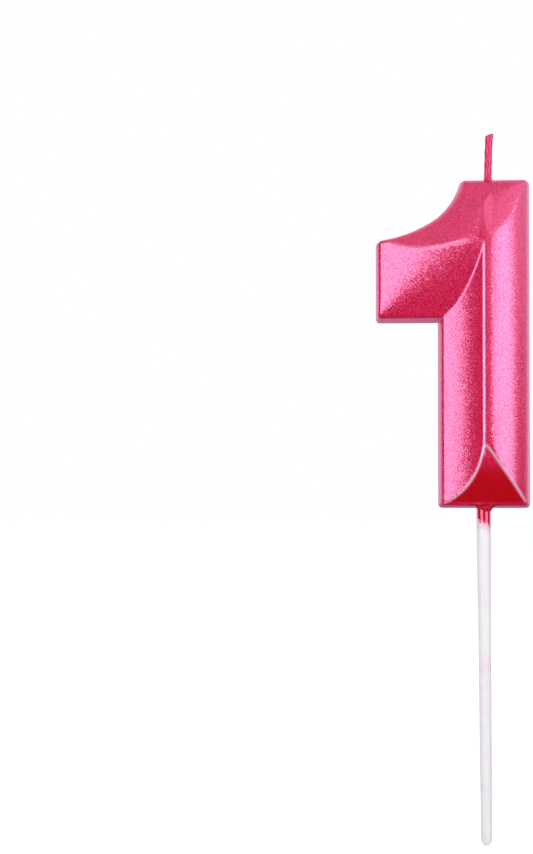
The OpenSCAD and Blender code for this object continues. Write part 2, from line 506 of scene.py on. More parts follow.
@dataclass(frozen=True)
class Cotton(Finish):
    """Waxed cotton yarn, with fibres along each ply."""

    pale: Colour = (0.80, 0.72, 0.62)
    stained: Colour = (0.72, 0.20, 0.32)
    shadow: Colour = (0.45, 0.30, 0.28)
    fibre_size: float = 0.09
    fibre_depth: float = 0.03
    fibre_squeeze: Point = (1.0, 1.0, 0.18)
    tuft_size: float = 0.6
    stain_share: Span = (0.25, 0.75)
    shadow_share: float = 0.25
    roughness: Span = (0.95, 0.7)

    def make(self) -> bpy.types.Material:
        """Makes the material.

        Returns:
            The material.
        """
        material, tree, where = blank(self.name)
        along = tree.add("Mapping", {"Vector": where, "Scale": self.fibre_squeeze}).outputs[0]
        fibre = tree.grain(along, self.fibre_size, 3.0, 0.6)
        stain = tree.span(tree.grain(where, self.tuft_size), 0.35, 0.65, *self.stain_share)
        colour = tree.blend(stain, self.pale, self.stained)
        between = tree.span(fibre, 0.35, 0.7, 0.0, self.shadow_share)
        self.close(
            tree,
            {
                "Base Color": tree.blend(between, colour, self.shadow),
                "Roughness": tree.span(fibre, 0.3, 0.7, *self.roughness),
                "Normal": tree.relief(fibre, self.fibre_depth, 0.8),
            },
        )
        return material


# ---------------------------------------------------------------- the digit


def soft_min(first: np.ndarray, second: np.ndarray, width: np.ndarray | float) -> np.ndarray:
    """Gives the lower of two surfaces, rounded where they differ by less than a width."""
    near = np.clip(width - np.abs(first - second), 0, None)
    return np.minimum(first, second) - near**2 / (4 * width)


def soft_max(first: np.ndarray, second: np.ndarray, width: np.ndarray | float) -> np.ndarray:
    """Gives the higher of two surfaces, rounded where they meet."""
    return -soft_min(-first, -second, width)


def smooth_step(value: np.ndarray, low: float, high: float) -> np.ndarray:
    """Rises smoothly from 0 at low to 1 at high."""
    part = np.clip((value - low) / (high - low), 0, 1)
    return part * part * (3 - 2 * part)


@dataclass(frozen=True)
class RoundBevel:
    """A convex bevel along an edge: an arc that starts steep and flattens towards the ridge."""

    run: float
    slope: float
    rise: float

    @property
    def radius(self) -> float:
        """Radius of the arc, which rises by rise over run and ends at slope degrees."""
        tilt = math.atan2(self.rise, self.run) - math.radians(self.slope)
        return math.hypot(self.run, self.rise) / 2 / math.sin(tilt)

    def height(self, away: np.ndarray) -> np.ndarray:
        """Gives the height at a distance from the edge.

        Args:
            away: Distances from the bevel's edge.

        Returns:
            The heights.
        """
        inset = self.run + self.radius * math.sin(math.radians(self.slope))
        drop = self.radius * math.cos(math.radians(self.slope)) - self.rise
        level = np.clip(inset - away, 0, self.radius * NEARLY)
        return np.sqrt(self.radius**2 - level**2) - drop


@dataclass
class Digit:
    """The moulded wax digit, in millimetres: its outline, bevels, edges and walls.

    Its heights above the front edge come from bevels that blend where they meet. A field that
    ends in x or z gives the two places between which something fades in.
    """

    finish: PearlPaint
    height: float = 70.7
    stem: float = 19.8
    reach: float = 13.4
    flag_floor: float = 40.0
    draft: float = 0.7
    ridge: float = 5.0
    wall: float = 7.0
    wall_rings: tuple[float, ...] = (0.04, 0.12, 0.3, 0.5, 0.7, 0.86, 1.0)
    wall_step: float = 0.2
    front: float = -2.0
    foot_run: float = 13.9
    foot_slope: float = 3.5
    crown_slope: float = 7.0
    hollow: Point = (-17.04, 25.84, 26.92)
    head_left: float = -4.5
    head_hollow: Point = (-19.207, 74.217, 15.3)
    head_slide: float = 0.753
    tip_hollow: Point = (-27.657, 88.853, 32.2)
    tip_slide: float = 0.8536
    sweep_power: float = 1.5
    flag_apex: Span = (-22.9, 40.4)
    flag_azimuth: float = 50.0
    flag_angles: Span = (71.185, 59.885)
    edge_round: float = 0.85
    back_round: float = 0.35
    back_steps: tuple[int, ...] = (30, 60, 90)
    back_inset: float = 0.15
    corner: float = 0.90
    corner_block: float = 4.0
    cell: float = 0.17
    middle: float = 0.6
    middle_lines: int = 11
    edge_lines: tuple[float, ...] = (0.0, 0.029, 0.114, 0.249, 0.425, 0.63, 0.85)
    ridge_soft: float = 0.40
    foot_soft: float = 0.32
    flag_soft: float = 0.22
    crown_soft: Span = (0.15, 0.75)
    crown_soft_rise: Span = (2.5, 4.2)
    head_soft: Span = (0.9, 3.5)
    head_x: Span = (-0.8, 2.0)
    head_z: Span = (57.0, 65.0)
    # Painted highlight along the ridges: its width, and its strength on the stem and on the flag.
    highlight_width: float = 0.24
    least_slope: float = 0.15
    slope_step: float = 0.02
    stem_highlight: float = 0.42
    stem_highlight_z: Span = (57.2, 56.0)
    flag_highlight: float = 0.28
    flag_highlight_x: Span = (-2.6, -6.0)
    # Painted shade on the foot's lower bevel, where the paint is also smoother: how it fades in with height,
    # with distance from the edge and at its border.
    pool_shade_z: Span = (12.0, 6.5)
    pool_shade_edge: Span = (0.2, 1.0)
    pool_shade_border: Span = (-0.1, 0.5)
    half: float = field(init=False)
    foot: float = field(init=False)
    head: float = field(init=False)
    shelf: float = field(init=False)
    tip: float = field(init=False)
    side_bevel: RoundBevel = field(init=False)
    foot_bevel: RoundBevel = field(init=False)

    def __post_init__(self) -> None:
        """Works out the front outline from the back one and the draft."""
        self.half = self.stem / 2 - self.draft
        self.foot = self.draft
        self.head = self.height - self.draft
        self.shelf = self.flag_floor + self.draft
        self.tip = self.draft - self.stem / 2 - self.reach
        self.side_bevel = RoundBevel(self.half, self.crown_slope, self.ridge)
        self.foot_bevel = RoundBevel(self.foot_run, self.foot_slope, self.ridge)

    # -- outline

    def top_line(self, across: np.ndarray) -> tuple[np.ndarray, np.ndarray]:
        """Gives the height of the outline's top and its slope, with the head's left corner rounded.

        Args:
            across: X of each point.

        Returns:
            Heights and slopes.
        """
        hx, hz, hr = self.head_hollow
        tx, tz, tr = self.tip_hollow
        join = hx + (hx - tx) * hr / (tr - hr)
        top = np.full_like(across, self.head)
        steep = np.zeros_like(across)
        inner = across < self.head_left
        level = np.clip(across - hx, -hr * NEARLY, hr * NEARLY)
        top[inner] = (hz - np.sqrt(hr**2 - level**2))[inner]
        steep[inner] = (level / np.sqrt(hr**2 - level**2))[inner]
        outer = across < join
        level = across - tx
        top[outer] = (tz - np.sqrt(tr**2 - level**2))[outer]
        steep[outer] = (level / np.sqrt(tr**2 - level**2))[outer]
        cx, cz = self.head_corner()
        start = hx + (cx - hx) * hr / math.hypot(cx - hx, cz - hz)
        rounded = (across > start) & (across < cx)
        level = across - cx
        arc = np.sqrt(np.clip(self.corner**2 - level**2, 1e-9, None))
        top[rounded] = (cz + arc)[rounded]
        steep[rounded] = (-level / arc)[rounded]
        return top, steep

    def head_corner(self) -> Span:
        """Gives the centre of the round at the head's left corner.

        Returns:
            Its X and Z.
        """
        hx, hz, hr = self.head_hollow
        cz = self.head - self.corner
        return hx + math.sqrt((hr + self.corner) ** 2 - (cz - hz) ** 2), cz

    def by_head(self, x: np.ndarray, z: np.ndarray) -> np.ndarray:
        """Tells whether the head's hollow, and not the tip's, is the nearer part of the sweep.

        Args:
            x: X of the points.
            z: Z of the points.

        Returns:
            Whether it is, for each point.
        """
        hx, hz, _ = self.head_hollow
        tx, tz, _ = self.tip_hollow
        return (hx - tx) * (z - tz) - (hz - tz) * (x - tx) > 0

    def edge_distances(self, x: np.ndarray, z: np.ndarray) -> dict[str, np.ndarray]:
        """Gives each point's distance inside every side of the front outline.

        Args:
            x: X of the points.
            z: Z of the points.

        Returns:
            The distances by the side's name.
        """
        hx, hz, hr = self.head_hollow
        tx, tz, tr = self.tip_hollow
        to_head, to_tip = np.hypot(x - hx, z - hz) - hr, np.hypot(x - tx, z - tz) - tr
        return {
            "right": self.half - x,
            "foot": z - self.foot,
            "head": self.head - z,
            "sweep": np.where(self.by_head(x, z), to_head, to_tip),
            "tip": x - self.tip,
            "left": x + self.half,
            "shelf": z - self.shelf,
        }

    def inside(self, x: np.ndarray, z: np.ndarray) -> np.ndarray:
        """Gives each point's distance from the front outline, with rounded corners.

        Args:
            x: X of the points.
            z: Z of the points.

        Returns:
            The distances, 0 outside.
        """
        d = self.edge_distances(x, z)
        r = self.corner
        left_of_notch = (d["left"] > 0) & (d["shelf"] > 0)
        notch = np.where(left_of_notch, np.hypot(d["left"], d["shelf"]), np.maximum(d["left"], d["shelf"]))
        cx, cz = self.head_corner()
        hx, hz, _ = self.head_hollow
        sector = (x < cx) & ((hx - cx) * (z - cz) - (hz - cz) * (x - cx) < 0)
        top = np.where(sector, r - np.hypot(x - cx, z - cz), np.minimum(d["head"], d["sweep"]))
        found = np.minimum(notch, top)
        for first, second, where in (
            (d["right"], d["foot"], z < self.shelf),
            (d["right"], top, z > self.shelf),
            (d["left"], d["foot"], (z < self.shelf) & (x > -self.half - 1)),
            (d["tip"], d["shelf"], x < -self.half),
            (d["tip"], top, z > self.shelf),
        ):
            both = (first < r) & (second < r)
            cornered = np.where(both, r - np.hypot(r - first, r - second), np.minimum(first, second))
            found = np.where(where, np.minimum(found, cornered), found)
        return np.clip(found, 0, None)

    # -- relief

    def cove(self, x: np.ndarray) -> np.ndarray:
        """Gives the height of the hollow bevel along the stem's left."""
        cx, cz, cr = self.hollow
        return cz - np.sqrt(np.clip(cr**2 - (x - cx) ** 2, 1e-6, None))

    def flag_height(self, x: np.ndarray, z: np.ndarray) -> np.ndarray:
        """Gives the height of the flag's bevel, a cone about an axis through its lower corner.

        Args:
            x: X of the points.
            z: Z of the points.

        Returns:
            The heights.
        """
        ax, az = self.flag_apex
        out = np.hypot(x - ax, z - az)
        turn = np.arctan2(z - az, x - ax) - math.radians(self.flag_azimuth)
        half, tilt = (math.radians(angle) for angle in self.flag_angles)
        run, rise = np.cos(turn) * math.cos(tilt), math.sin(tilt)
        steep = np.arccos(math.cos(half) / np.hypot(run, rise)) - np.arctan2(rise, run)
        return out * np.tan(steep)

    def meet(self, x: np.ndarray, z: np.ndarray) -> tuple[np.ndarray, list[np.ndarray], list[np.ndarray]]:
        """Joins the bevels over the front.

        Args:
            x: X of the points.
            z: Z of the points.

        Returns:
            Heights above the front edge, the differences that are zero on the ridges, and
            where each ridge takes its painted highlight, 0 to 1.
        """
        hx, hz, hr = self.head_hollow
        soft = self.ridge_soft
        left = soft_max(self.cove(x), self.flag_height(x, z), self.flag_soft)
        right = self.side_bevel.height(self.half - x)
        sweep = self.side_bevel.height(np.hypot(x - hx, z - hz) - hr)
        lid = self.side_bevel.height(self.head - z)
        lower = np.clip(np.minimum(lid, sweep), 0, None)
        least, share = self.crown_soft
        crown = soft_min(lid, sweep, least + share * lower * (1 - smooth_step(lower, *self.crown_soft_rise)))
        base = self.foot_bevel.height(z - self.foot)
        body = soft_min(left, right, soft)
        fade = smooth_step(x, *self.head_x) * smooth_step(z, *self.head_z)
        share, most = self.head_soft
        upper = soft_min(body, crown, soft + fade * np.clip(share * np.minimum(body, crown), 0, most))
        whole = soft_min(upper, base, self.foot_soft)
        # Strength of the painted highlight on the stem's ridges and on the flag's.
        stem_highlit = self.stem_highlight * (1 - fade) * smooth_step(z, *self.stem_highlight_z)
        flag_highlit = self.flag_highlight * smooth_step(x, *self.flag_highlight_x)
        highlit = [
            np.where(np.minimum(left, right) < whole + soft, stem_highlit, 0.0),
            np.where(np.minimum(body, crown) < whole + soft, flag_highlit, 0.0),
            np.ones_like(x),
        ]
        return whole, [left - right, body - crown, upper - base], highlit

    def relief(self, x: np.ndarray, z: np.ndarray) -> tuple[np.ndarray, np.ndarray]:
        """Gives the height of the bevelled front above the front edge.

        Args:
            x: X of the points.
            z: Z of the points.

        Returns:
            Heights, and how strongly each point near a ridge takes the painted highlight, 0 to 1.
        """
        whole, lines, highlit = self.meet(x, z)
        step = self.slope_step
        beside, above = self.meet(x + step, z)[1], self.meet(x, z + step)[1]
        # The painted highlight is strongest on each ridge and fades away from it.
        painted_highlight = np.zeros_like(x)
        for line, line_x, line_z, share in zip(lines, beside, above, highlit):
            steep = np.hypot(line_x - line, line_z - line) / step
            apart = line / np.clip(steep, self.least_slope, None)
            painted_highlight = np.maximum(painted_highlight, share * np.exp(-((apart / self.highlight_width) ** 2)))
        return whole, painted_highlight

    def pooled_and_shaded(self, x: np.ndarray, z: np.ndarray, away: np.ndarray) -> np.ndarray:
        """Gives the painted shade on the lower part of the foot's bevel, where the paint is also pooled and
        smoother.

        Args:
            x: X of the points.
            z: Z of the points.
            away: Their distances from the outline.

        Returns:
            The share, 0 to 1.
        """
        above = np.minimum(self.cove(x), self.side_bevel.height(self.half - x))
        on_foot = smooth_step(above - self.foot_bevel.height(z - self.foot), *self.pool_shade_border)
        return smooth_step(z, *self.pool_shade_z) * smooth_step(away, *self.pool_shade_edge) * on_foot

    def drop(self, away: np.ndarray) -> np.ndarray:
        """Gives how far the rounded front edge falls at a distance from the outline."""
        r = self.edge_round
        return r - np.sqrt(r**2 - np.clip(r - away, 0, r) ** 2)

    # -- grid

    def lines(self, low: float, high: float, at_low: bool, at_high: bool) -> np.ndarray:
        """Spaces grid lines evenly between two values, closer beside an outline edge.

        Args:
            low: First value.
            high: Last value.
            at_low: Whether the first value is an outline edge.
            at_high: Whether the last value is one.

        Returns:
            The lines.
        """
        close = np.array(self.edge_lines)
        start = low + close if at_low else np.array([low])
        end = high - close[::-1] if at_high else np.array([high])
        count = max(2, round((end[0] - start[-1]) / self.cell))
        between = np.linspace(start[-1], end[0], count + 1)[1:-1]
        return np.concatenate((start, between, end))

    def tuck_corner(self, first: np.ndarray, second: np.ndarray) -> tuple[np.ndarray, np.ndarray]:
        """Bends the square grid in a corner into rings about the rounded corner.

        Args:
            first: Distances from one side.
            second: Distances from the other side.

        Returns:
            The bent distances.
        """
        size, r = self.corner_block * self.corner, self.corner
        near = (first < size) & (second < size)
        ring = np.minimum(first, second)
        along = (np.maximum(first, second) - ring) / np.maximum(size - ring, 1e-9)
        bend = np.clip(r - ring, 0, None)
        pole = np.maximum(r, ring)
        quarter = bend * math.pi / 4
        travel = along * (quarter + size - pole)
        turn = np.clip(travel / np.maximum(bend, 1e-9), 0, math.pi / 4) + math.pi / 4
        past = np.clip(travel - quarter, 0, None)
        low = np.where(bend > 0, pole - bend * np.sin(turn), ring)
        high = np.where(bend > 0, pole - bend * np.cos(turn) + past, ring + travel)
        new_first = np.where(first <= second, low, high)
        new_second = np.where(first <= second, high, low)
        return np.where(near, new_first, first), np.where(near, new_second, second)

    def lay_upper(
        self, columns: np.ndarray, rows: np.ndarray, i: np.ndarray, j: np.ndarray
    ) -> tuple[np.ndarray, np.ndarray]:
        """Lays out the grid of the head and the flag.

        Args:
            columns: X of the grid's columns.
            rows: Heights of its rows, at a column of full height.
            i: Column of each point.
            j: Row of each point.

        Returns:
            X and Z of each point.
        """
        x = columns[i]
        top, steep = self.top_line(columns)
        stretch = np.sqrt(1 + steep**2)
        close = np.array(self.edge_lines)
        n = len(close)
        grid = np.empty((len(columns), len(rows)))
        grid[:, :n] = rows[:n]
        grid[:, -n:] = top[:, None] - close[None, ::-1] * stretch[:, None]
        between = slice(n - 1, len(rows) - n + 1)
        share = (rows[between] - rows[n - 1]) / (rows[-n] - rows[n - 1])
        start = grid[:, n - 1].copy()
        grid[:, between] = start[:, None] + share * (grid[:, -n] - start)[:, None]
        z = grid[i, j]
        block = self.corner_block * self.corner
        under = (top[i] - z) / stretch[i]
        a, b = self.tuck_corner(x - self.tip, under)
        corner_at = (x - self.tip < block) & (under < block)
        x = np.where(corner_at, self.tip + a, x)
        new_top, new_steep = self.top_line(x)
        z = np.where(corner_at, new_top - b * np.sqrt(1 + new_steep**2), z)
        a, b = self.tuck_corner(self.half - x, self.head - z)
        a, b = self.tuck_corner(self.half - a - self.tip, self.head - b - self.shelf)
        return self.tip + a, self.shelf + b

    def patch(self, piece: Shape, columns: np.ndarray, rows: np.ndarray, upper: bool) -> None:
        """Adds one grid of the front, laid out on its part of the outline.

        Args:
            piece: The shape that takes the grid.
            columns: X of the grid's columns.
            rows: Heights of its rows, at a column of full height.
            upper: Whether it is the head with the flag, and not the lower stem.
        """
        wide, tall = len(columns) - 1, len(rows) - 1
        verts = bmesh.ops.create_grid(piece, x_segments=wide, y_segments=tall, size=1)["verts"]
        square = np.array([vert.co[:2] for vert in verts])
        i = np.rint((square[:, 0] + 1) / 2 * wide).astype(int)
        j = np.rint((square[:, 1] + 1) / 2 * tall).astype(int)
        if upper:
            x, z = self.lay_upper(columns, rows, i, j)
        else:
            a, b = self.tuck_corner(self.half - columns[i], rows[j] - self.foot)
            a, b = self.tuck_corner(self.half - a + self.half, b)
            x, z = a - self.half, self.foot + b
        away = self.inside(x, z)
        high, painted_highlight = self.relief(x, z)
        high = high - self.drop(away)
        painted_highlight = painted_highlight * np.clip(away / self.edge_round, 0, 1)
        # These vertex layers carry the painted ridge highlight and the painted shade of the foot.
        highlight_layer, pool_layer = (piece.verts.layers.float[name] for name in ("painted_highlight", "pool_and_shade"))
        for vert, vx, vz, vh, vc, vp in zip(verts, x, z, high, painted_highlight, self.pooled_and_shaded(x, z, away)):
            vert.co = (vx, self.front - vh, vz)
            vert[highlight_layer], vert[pool_layer] = vc, vp

    # -- walls

    def outward(self, x: float, z: float) -> Span:
        """Gives how a point of the outline moves as the wall's draft widens it by one.

        Args:
            x: X of the point.
            z: Z of the point.

        Returns:
            The move in X and Z.
        """
        apart = self.edge_distances(np.float64(x), np.float64(z))
        near = {key: abs(float(value)) for key, value in apart.items()}
        if z > self.shelf + TOUCH:
            near.pop("left")
        if z < self.shelf - TOUCH:
            near.pop("shelf")
            near.pop("tip")
        if x > -self.half + TOUCH:
            near.pop("shelf", None)
        if x > self.head_left or z > self.head - TOUCH:
            near.pop("sweep")
        side = min(near, key=lambda key: near[key])
        if side == "right":
            return 1.0, 2 * (z - self.foot) / (self.head - self.foot) - 1
        if side == "foot":
            return x / self.half, -1.0
        if side in ("left", "shelf"):
            return -1.0, -1.0
        if side == "head":
            part = (x - self.head_left) / (self.half - self.head_left)
            return -self.head_slide + (1 + self.head_slide) * part, 1.0
        tx, tz, tr = self.tip_hollow
        if side == "tip":
            top = tz - math.sqrt(tr**2 - (self.tip - tx) ** 2)
            return -1.0, -1 + (1 + self.tip_slide) * (z - self.shelf) / (top - self.shelf)
        cx, cz = self.head_hollow[:2] if self.by_head(x, z) else (tx, tz)
        size = math.hypot(cx - x, cz - z)
        nx, nz = (cx - x) / size, (cz - z) / size
        part = (x - self.tip) / (self.head_left - self.tip)
        slide = -self.tip_slide + (self.tip_slide + self.head_slide) * part**self.sweep_power
        return nx + slide * nz, nz - slide * nx

    def build(self) -> Shape:
        """Builds the closed digit.

        Returns:
            The shape in millimetres.
        """
        piece = bmesh.new()
        # Vertex layers for the painted ridge highlight, the painted shade of the foot and the walls' paler
        # painted light.
        for name in ("painted_highlight", "pool_and_shade", "side"):
            piece.verts.layers.float.new(name)
        flag = self.lines(self.tip, -self.half, True, False)
        left = self.lines(-self.half, -self.middle, True, False)
        crown = np.linspace(-self.middle, self.middle, self.middle_lines)
        right = self.lines(self.middle, self.half, False, True)
        stem = np.concatenate((left, crown[1:], right[1:]))
        columns = np.concatenate((flag[:-1], stem))
        self.patch(piece, columns, self.lines(self.shelf, self.head, True, True), True)
        self.patch(piece, stem, self.lines(self.foot, self.shelf, True, False), False)
        bmesh.ops.remove_doubles(piece, verts=piece.verts, dist=2e-4)
        bmesh.ops.recalc_face_normals(piece, faces=piece.faces)
        self.add_walls(piece)
        return piece

    def add_walls(self, piece: Shape) -> None:
        """Draws the front's rim back into the side walls, and closes the back.

        Args:
            piece: The front, which becomes the whole digit.
        """
        edges = [edge for edge in piece.edges if edge.is_boundary]
        points = {vert for edge in edges for vert in edge.verts}
        start = {vert: vert.co.copy() for vert in points}
        moves = {vert: self.outward(vert.co.x, vert.co.z) for vert in points}
        # The side layer marks the walls, which get rougher paint and a paler pink of painted light.
        layer = piece.verts.layers.float["side"]
        turns = [math.radians(step) for step in self.back_steps]
        rings = [(share, 0.0, 0.0) for share in self.wall_rings]
        round_off = self.back_round
        rings += [(1.0, round_off * math.sin(turn), round_off * (1 - math.cos(turn))) for turn in turns]
        current = {vert: vert for vert in points}
        for share, deeper, tucked in rings:
            made = bmesh.ops.extrude_edge_only(piece, edges=edges)["geom"]
            edges = [item for item in made if isinstance(item, bmesh.types.BMEdge) and item.is_boundary]
            origin = {}
            for vert in (item for item in made if isinstance(item, bmesh.types.BMVert)):
                for other in (edge.other_vert(vert) for edge in vert.link_edges):
                    if other in current and (other.co - vert.co).length < 1e-7:
                        origin[vert] = current[other]
                        break
            for vert, first in origin.items():
                base = start[first]
                y = base.y + (self.front + self.wall - self.back_round - base.y) * share + deeper
                deep = (y - self.front - self.wall_step) / (self.wall - self.wall_step)
                wide = self.draft * min(max(deep, 0), 1) - tucked
                dx, dz = moves[first]
                vert.co = (base.x + dx * wide, y, base.z + dz * wide)
                vert[layer] = 1.0
            current = origin
        lid = bmesh.ops.edgeloop_fill(piece, edges=edges)["faces"]
        bmesh.ops.inset_region(piece, faces=lid, thickness=self.back_inset, use_even_offset=True)
        bmesh.ops.recalc_face_normals(piece, faces=piece.faces)

    def dress(self) -> bpy.types.Object:
        """Builds the digit and gives it its finish.

        Returns:
            The object.
        """
        made = place(self.build(), "digit_wax", self.finish.make())
        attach(made, Body.ROOT.value)
        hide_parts("candle_body")
        return made


# ---------------------------------------------------------------- wick


@dataclass
class Wick:
    """The painted wick above the digit, in millimetres: its twisted plies and lumpy coat."""

    coat_finish: PearlPaint
    cotton_finish: Cotton
    x: float = 1.0
    low: float = 17.55
    foot: float = 69.05
    top: float = 80.15
    radius: float = 0.86
    skin: float = 0.05
    bore: float = 0.66
    ply: float = 0.27
    ply_sides: int = 10
    ply_gap: float = 0.05
    ply_end: float = 0.28
    pitch: float = 8.0
    turn_steps: int = 18
    sides: int = 28
    slice: float = 0.16
    spare: float = 0.6
    twist: float = 0.030
    lump: float = 0.075
    pimple: float = 0.030
    flare: float = 0.42
    flare_low: float = 70.05
    flare_reach: float = 0.22
    swell: float = 0.05
    swell_drop: float = 0.2
    swell_reach: float = 0.5
    cut: Span = (-0.34, 0.12)
    cut_drop: float = 0.32
    cut_insets: tuple[Span, ...] = ((0.07, 0.0), (0.10, -0.06), (0.02, -0.30))
    lean: tuple[Span, ...] = ((69.0, -0.05), (72.0, -0.06), (75.0, 0.03), (77.5, 0.10), (80.2, 0.26))

    def sway(self, z: float) -> float:
        """Gives how far the wick's axis stands aside at a height."""
        heights, aside = zip(*self.lean)
        return float(np.interp(z, heights, aside))

    def bend(self, piece: Shape) -> None:
        """Moves a straight shape onto the wick's own line."""
        for vert in piece.verts:
            vert.co.x += self.x + self.sway(vert.co.z)

    def lumpy(self, spot: Vector) -> float:
        """Gives the coat's radius at a point of its straight tube.

        Args:
            spot: The point.

        Returns:
            The radius.
        """
        x, y, z = spot
        twist = self.twist * math.cos(3 * (math.atan2(y, x) - math.tau * z / self.pitch))
        lump = self.lump * noise.noise(Vector((x * 1.1, y * 1.1, z * 0.9)))
        pimple = self.pimple * noise.noise(Vector((x * 3.1, y * 3.1, z * 2.6)) + Vector((7, 3, 1)))
        flare = self.flare * math.exp(-max(z - self.flare_low, 0) / self.flare_reach)
        swell = self.swell * math.exp(-(((z - self.top + self.swell_drop) / self.swell_reach) ** 2))
        return self.radius - self.skin + twist + lump + pimple + flare + swell

    def coat(self) -> bpy.types.Object:
        """Builds the lumpy coat of painted wax, with its slanted cut end.

        Returns:
            The object.
        """
        piece = bmesh.new()
        ring_at(piece, self.sides, self.radius, self.foot)
        edges = list(piece.edges)
        count = round((self.top + self.spare - self.foot) / self.slice)
        for _ in range(count):
            made = bmesh.ops.extrude_edge_only(piece, edges=edges)["geom"]
            edges = [item for item in made if isinstance(item, bmesh.types.BMEdge) and item.is_boundary]
            verts = [item for item in made if isinstance(item, bmesh.types.BMVert)]
            bmesh.ops.translate(piece, verts=verts, vec=(0, 0, (self.top + self.spare - self.foot) / count))
        for vert in piece.verts:
            grow = self.lumpy(vert.co) / self.radius
            vert.co.x *= grow
            vert.co.y *= grow
        cut_away(piece, (0, 0, self.top - self.cut_drop), Vector((*self.cut, 1)).normalized())
        for at_top in (True, False):
            rim = [edge for edge in piece.edges if edge.is_boundary]
            loop = [edge for edge in rim if (edge.verts[0].co.z > self.foot + 2) == at_top]
            lid = bmesh.ops.edgeloop_fill(piece, edges=loop)["faces"]
            if at_top:
                bmesh.ops.recalc_face_normals(piece, faces=piece.faces)
                for thick, deep in self.cut_insets:
                    bmesh.ops.inset_region(
                        piece, faces=lid, thickness=thick, depth=deep, use_even_offset=False
                    )
        self.bend(piece)
        bmesh.ops.recalc_face_normals(piece, faces=piece.faces)
        made = place(piece, "wick_coat", self.coat_finish.make())
        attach(made, Body.ROOT.value)
        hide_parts("wick_sleeve")
        return made

    def plies(self) -> bpy.types.Object:
        """Builds the three twisted cotton plies, each a small circle wound round the wick's axis.

        Returns:
            The object.
        """
        piece = bmesh.new()
        length = self.top - self.ply_end - self.low
        turns = length / self.pitch
        steps = round(turns * self.turn_steps)
        for start in (0, 120, 240):
            ring = ring_at(piece, self.ply_sides, self.ply, self.low)
            bmesh.ops.translate(piece, verts=ring, vec=(self.bore - self.ply - self.ply_gap, 0, 0))
            turn = Matrix.Rotation(math.radians(start), 3, "Z")
            bmesh.ops.rotate(piece, verts=ring, cent=(0, 0, 0), matrix=turn)
            rim = list(dict.fromkeys(edge for vert in ring for edge in vert.link_edges))
            bottom = bmesh.ops.edgeloop_fill(piece, edges=rim)["faces"]
            bmesh.ops.spin(
                piece,
                geom=bottom + rim + ring,
                cent=(0, 0, 0),
                axis=(0, 0, 1),
                dvec=(0, 0, length / steps),
                angle=math.tau * turns,
                steps=steps,
            )
        bmesh.ops.recalc_face_normals(piece, faces=piece.faces)
        self.bend(piece)
        made = place(piece, "wick_plies", self.cotton_finish.make())
        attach(made, Body.ROOT.value)
        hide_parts("wick_yarns")
        return made


# ---------------------------------------------------------------- pick and bead


@dataclass
class Pick:
    """The plastic pick, in millimetres: dipped top, long taper, parting line and blunt point."""

    finish: PickPlastic
    root: float = 0.45
    land: float = 1.49
    land_low: float = -6.55
    land_rings: int = 22
    point: float = 1.14
    point_top: float = -69.6
    point_flat: float = 0.52
    low: float = -71.38
    taper_rings: int = 89
    sides: int = 64
    seam: float = 0.035
    seam_sharp: int = 220
    wave: float = 0.012
    sunk: float = 0.01
    lean: Span = (-0.16, 0.32)

    def build(self) -> Shape:
        """Builds the pick as a spun profile with a rounded point.

        Returns:
            The shape in millimetres.
        """
        profile = [(0.0, self.root), (self.land * 0.6, self.root), (self.land, self.root)]
        profile += [(self.land, z) for z in np.linspace(0, self.land_low, self.land_rings)]
        for share in np.linspace(0, 1, self.taper_rings + 1)[1:]:
            radius = self.land + (self.point - self.land) * share
            profile.append((radius, self.land_low + (self.point_top - self.land_low) * share))
        flat = self.point * self.point_flat
        for angle in (math.radians(turn) for turn in range(12, 91, 13)):
            radius = flat + (self.point - flat) * math.cos(angle)
            profile.append((radius, self.point_top + (self.low - self.point_top) * math.sin(angle)))
        profile += [(flat * 0.5, self.low), (0.0, self.low)]
        piece = bmesh.new()
        revolve(piece, profile, self.sides)
        for vert in piece.verts:
            x, y, z = vert.co
            size = math.hypot(x, y)
            if size > 0.2:
                seam = self.seam * abs(x / size) ** self.seam_sharp
                wave = self.wave * noise.noise(Vector((x * 0.5, y * 0.5, z * 0.16)))
                grow = 1 + (seam + wave - self.sunk) / size
                vert.co.x *= grow
                vert.co.y *= grow
            share = min(max(z / self.low, 0), 1)
            vert.co.x += self.lean[0] + (self.lean[1] - self.lean[0]) * share
        return piece

    def dress(self) -> bpy.types.Object:
        """Builds the pick and gives it its finish.

        Returns:
            The object.
        """
        made = place(self.build(), "pick_stick", self.finish.make())
        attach(made, Body.ROOT.value)
        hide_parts("pick")
        return made


